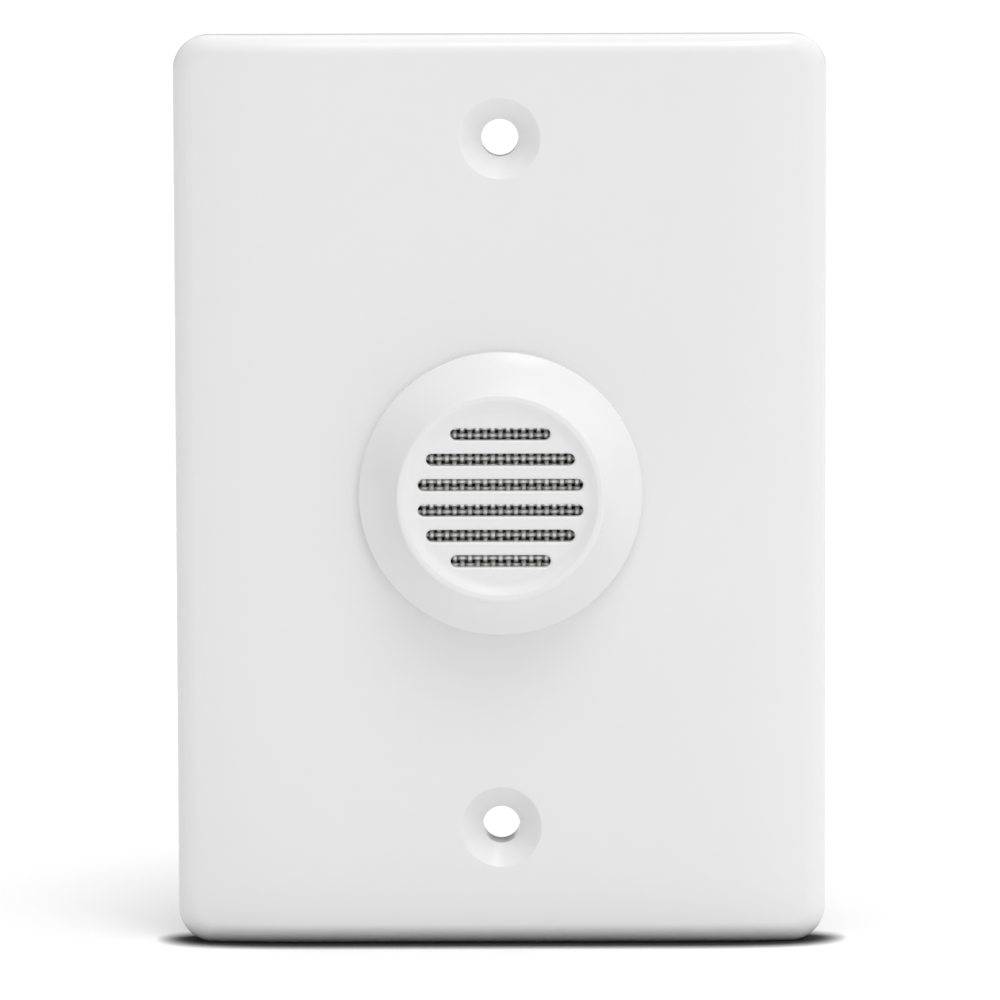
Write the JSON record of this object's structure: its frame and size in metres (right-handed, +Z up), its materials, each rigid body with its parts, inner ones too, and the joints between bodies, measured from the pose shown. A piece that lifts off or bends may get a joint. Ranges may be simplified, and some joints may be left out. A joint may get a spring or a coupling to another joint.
{
  "type": "doorbell chime",
  "caption": "Wall-mounted doorbell chime: a moulded plate with a round slotted sounder, a loudspeaker, and a rear case with its circuit board and bell wire terminals.",
  "frame": {"origin": "on the wall plane, midway between the two wall screw holes", "axes": "+X to the right and +Z up as seen from the front, -Y out of the wall towards the room"},
  "size_m": [0.0786, 0.0412, 0.1102],
  "materials": {
    "white_gloss": "gloss white moulding",
    "mesh_steel": "bright steel mesh",
    "black_nylon": "black nylon",
    "foam": "foam",
    "film": "thin dark polyester film",
    "copper": "enamelled copper wire",
    "magnet": "nickel plate",
    "steel": "zinc plate",
    "zinc_steel": "bright zinc plate",
    "lug_board": "brown laminate",
    "red_wire": "red insulation",
    "black_wire": "black insulation",
    "connector_white": "natural nylon",
    "housing_black": "fine textured black moulding",
    "board_green": "green solder resist",
    "can_sleeve": "shrunk sleeve",
    "chip_black": "moulded epoxy",
    "fuse_yellow": "epoxy dip",
    "can_metal": "drawn can",
    "ceramic_tan": "ceramic",
    "trimmer_blue": "blue moulding",
    "shaft_white": "white moulding",
    "terminal_green": "green moulding",
    "tinned_brass": "tin plate on brass"
  },
  "bodies": {
    "chime": {"wall_plate": "white_gloss", "sounder_bezel": "white_gloss", "mesh_screen": "mesh_steel", "bezel_ring_nut": "black_nylon", "speaker_gasket": "foam", "speaker_basket": "black_nylon", "speaker_surround": "film", "speaker_magnet": "magnet", "speaker_pole_plate": "steel", "speaker_yoke": "steel", "speaker_terminal_board": "lug_board", "speaker_retainer": "black_nylon", "speaker_lead_red": "red_wire", "speaker_lead_black": "black_wire", "speaker_plug": "connector_white", "speaker_header": "connector_white", "rear_housing": "housing_black", "housing_screws": "zinc_steel", "main_board": "board_green", "board_screws": "zinc_steel", "filter_capacitor": "can_sleeve", "coupling_capacitor": "can_sleeve", "bridge_rectifier": "chip_black", "voltage_regulator": "chip_black", "resettable_fuse": "fuse_yellow", "crystal": "can_metal", "sound_chip": "chip_black", "amplifier_chip": "chip_black", "chip_resistors": "chip_black", "chip_capacitors": "ceramic_tan", "volume_trimmer": "trimmer_blue", "tune_switch": "chip_black", "terminal_block": "terminal_green", "terminal_contacts": "tinned_brass"},
    "diaphragm": {"speaker_diaphragm": "film", "voice_coil": "copper"},
    "volume_shaft": {"volume_shaft": "shaft_white"},
    "tune_button": {"tune_button": "shaft_white"},
    "terminal_screw_1": {"terminal_screw_1": "zinc_steel"},
    "terminal_cage_1": {"terminal_cage_1": "tinned_brass"},
    "terminal_screw_2": {"terminal_screw_2": "zinc_steel"},
    "terminal_cage_2": {"terminal_cage_2": "tinned_brass"},
    "terminal_screw_3": {"terminal_screw_3": "zinc_steel"},
    "terminal_cage_3": {"terminal_cage_3": "tinned_brass"}
  },
  "joints": [
    {"name": "diaphragm_stroke", "type": "slide", "parent": "chime", "child": "diaphragm", "axis": [0, -1, 0], "range_m": [-0.0004, 0.0004], "stiffness_N_per_m": 150, "deforming": ["speaker_surround"]},
    {"name": "volume_turn", "type": "hinge", "parent": "chime", "child": "volume_shaft", "pos_m": [0.00836, 0.026, 0.01264], "axis": [0, -1, 0], "range_deg": [0, 270]},
    {"name": "tune_press", "type": "slide", "parent": "chime", "child": "tune_button", "axis": [0, -1, 0], "range_m": [0, 0.0005], "stiffness_N_per_m": 600},
    {"name": "terminal_screw_1_turn", "type": "hinge", "parent": "chime", "child": "terminal_screw_1", "pos_m": [-0.00508, 0.0214, -0.0257], "axis": [0, -1, 0], "range_deg": [0, 1440]},
    {"name": "terminal_cage_1_rise", "type": "slide", "parent": "chime", "child": "terminal_cage_1", "axis": [0, 1, 0], "range_m": [0, 0.002]},
    {"name": "terminal_screw_2_turn", "type": "hinge", "parent": "chime", "child": "terminal_screw_2", "pos_m": [0, 0.0214, -0.0257], "axis": [0, -1, 0], "range_deg": [0, 1440]},
    {"name": "terminal_cage_2_rise", "type": "slide", "parent": "chime", "child": "terminal_cage_2", "axis": [0, 1, 0], "range_m": [0, 0.002]},
    {"name": "terminal_screw_3_turn", "type": "hinge", "parent": "chime", "child": "terminal_screw_3", "pos_m": [0.00508, 0.0214, -0.0257], "axis": [0, -1, 0], "range_deg": [0, 1440]},
    {"name": "terminal_cage_3_rise", "type": "slide", "parent": "chime", "child": "terminal_cage_3", "axis": [0, 1, 0], "range_m": [0, 0.002]}
  ],
  "couplings": [
    {"joint": "terminal_screw_1_turn", "follows": "terminal_cage_1_rise", "rad_per_m": 12566},
    {"joint": "terminal_screw_2_turn", "follows": "terminal_cage_2_rise", "rad_per_m": 12566},
    {"joint": "terminal_screw_3_turn", "follows": "terminal_cage_3_rise", "rad_per_m": 12566}
  ]
}
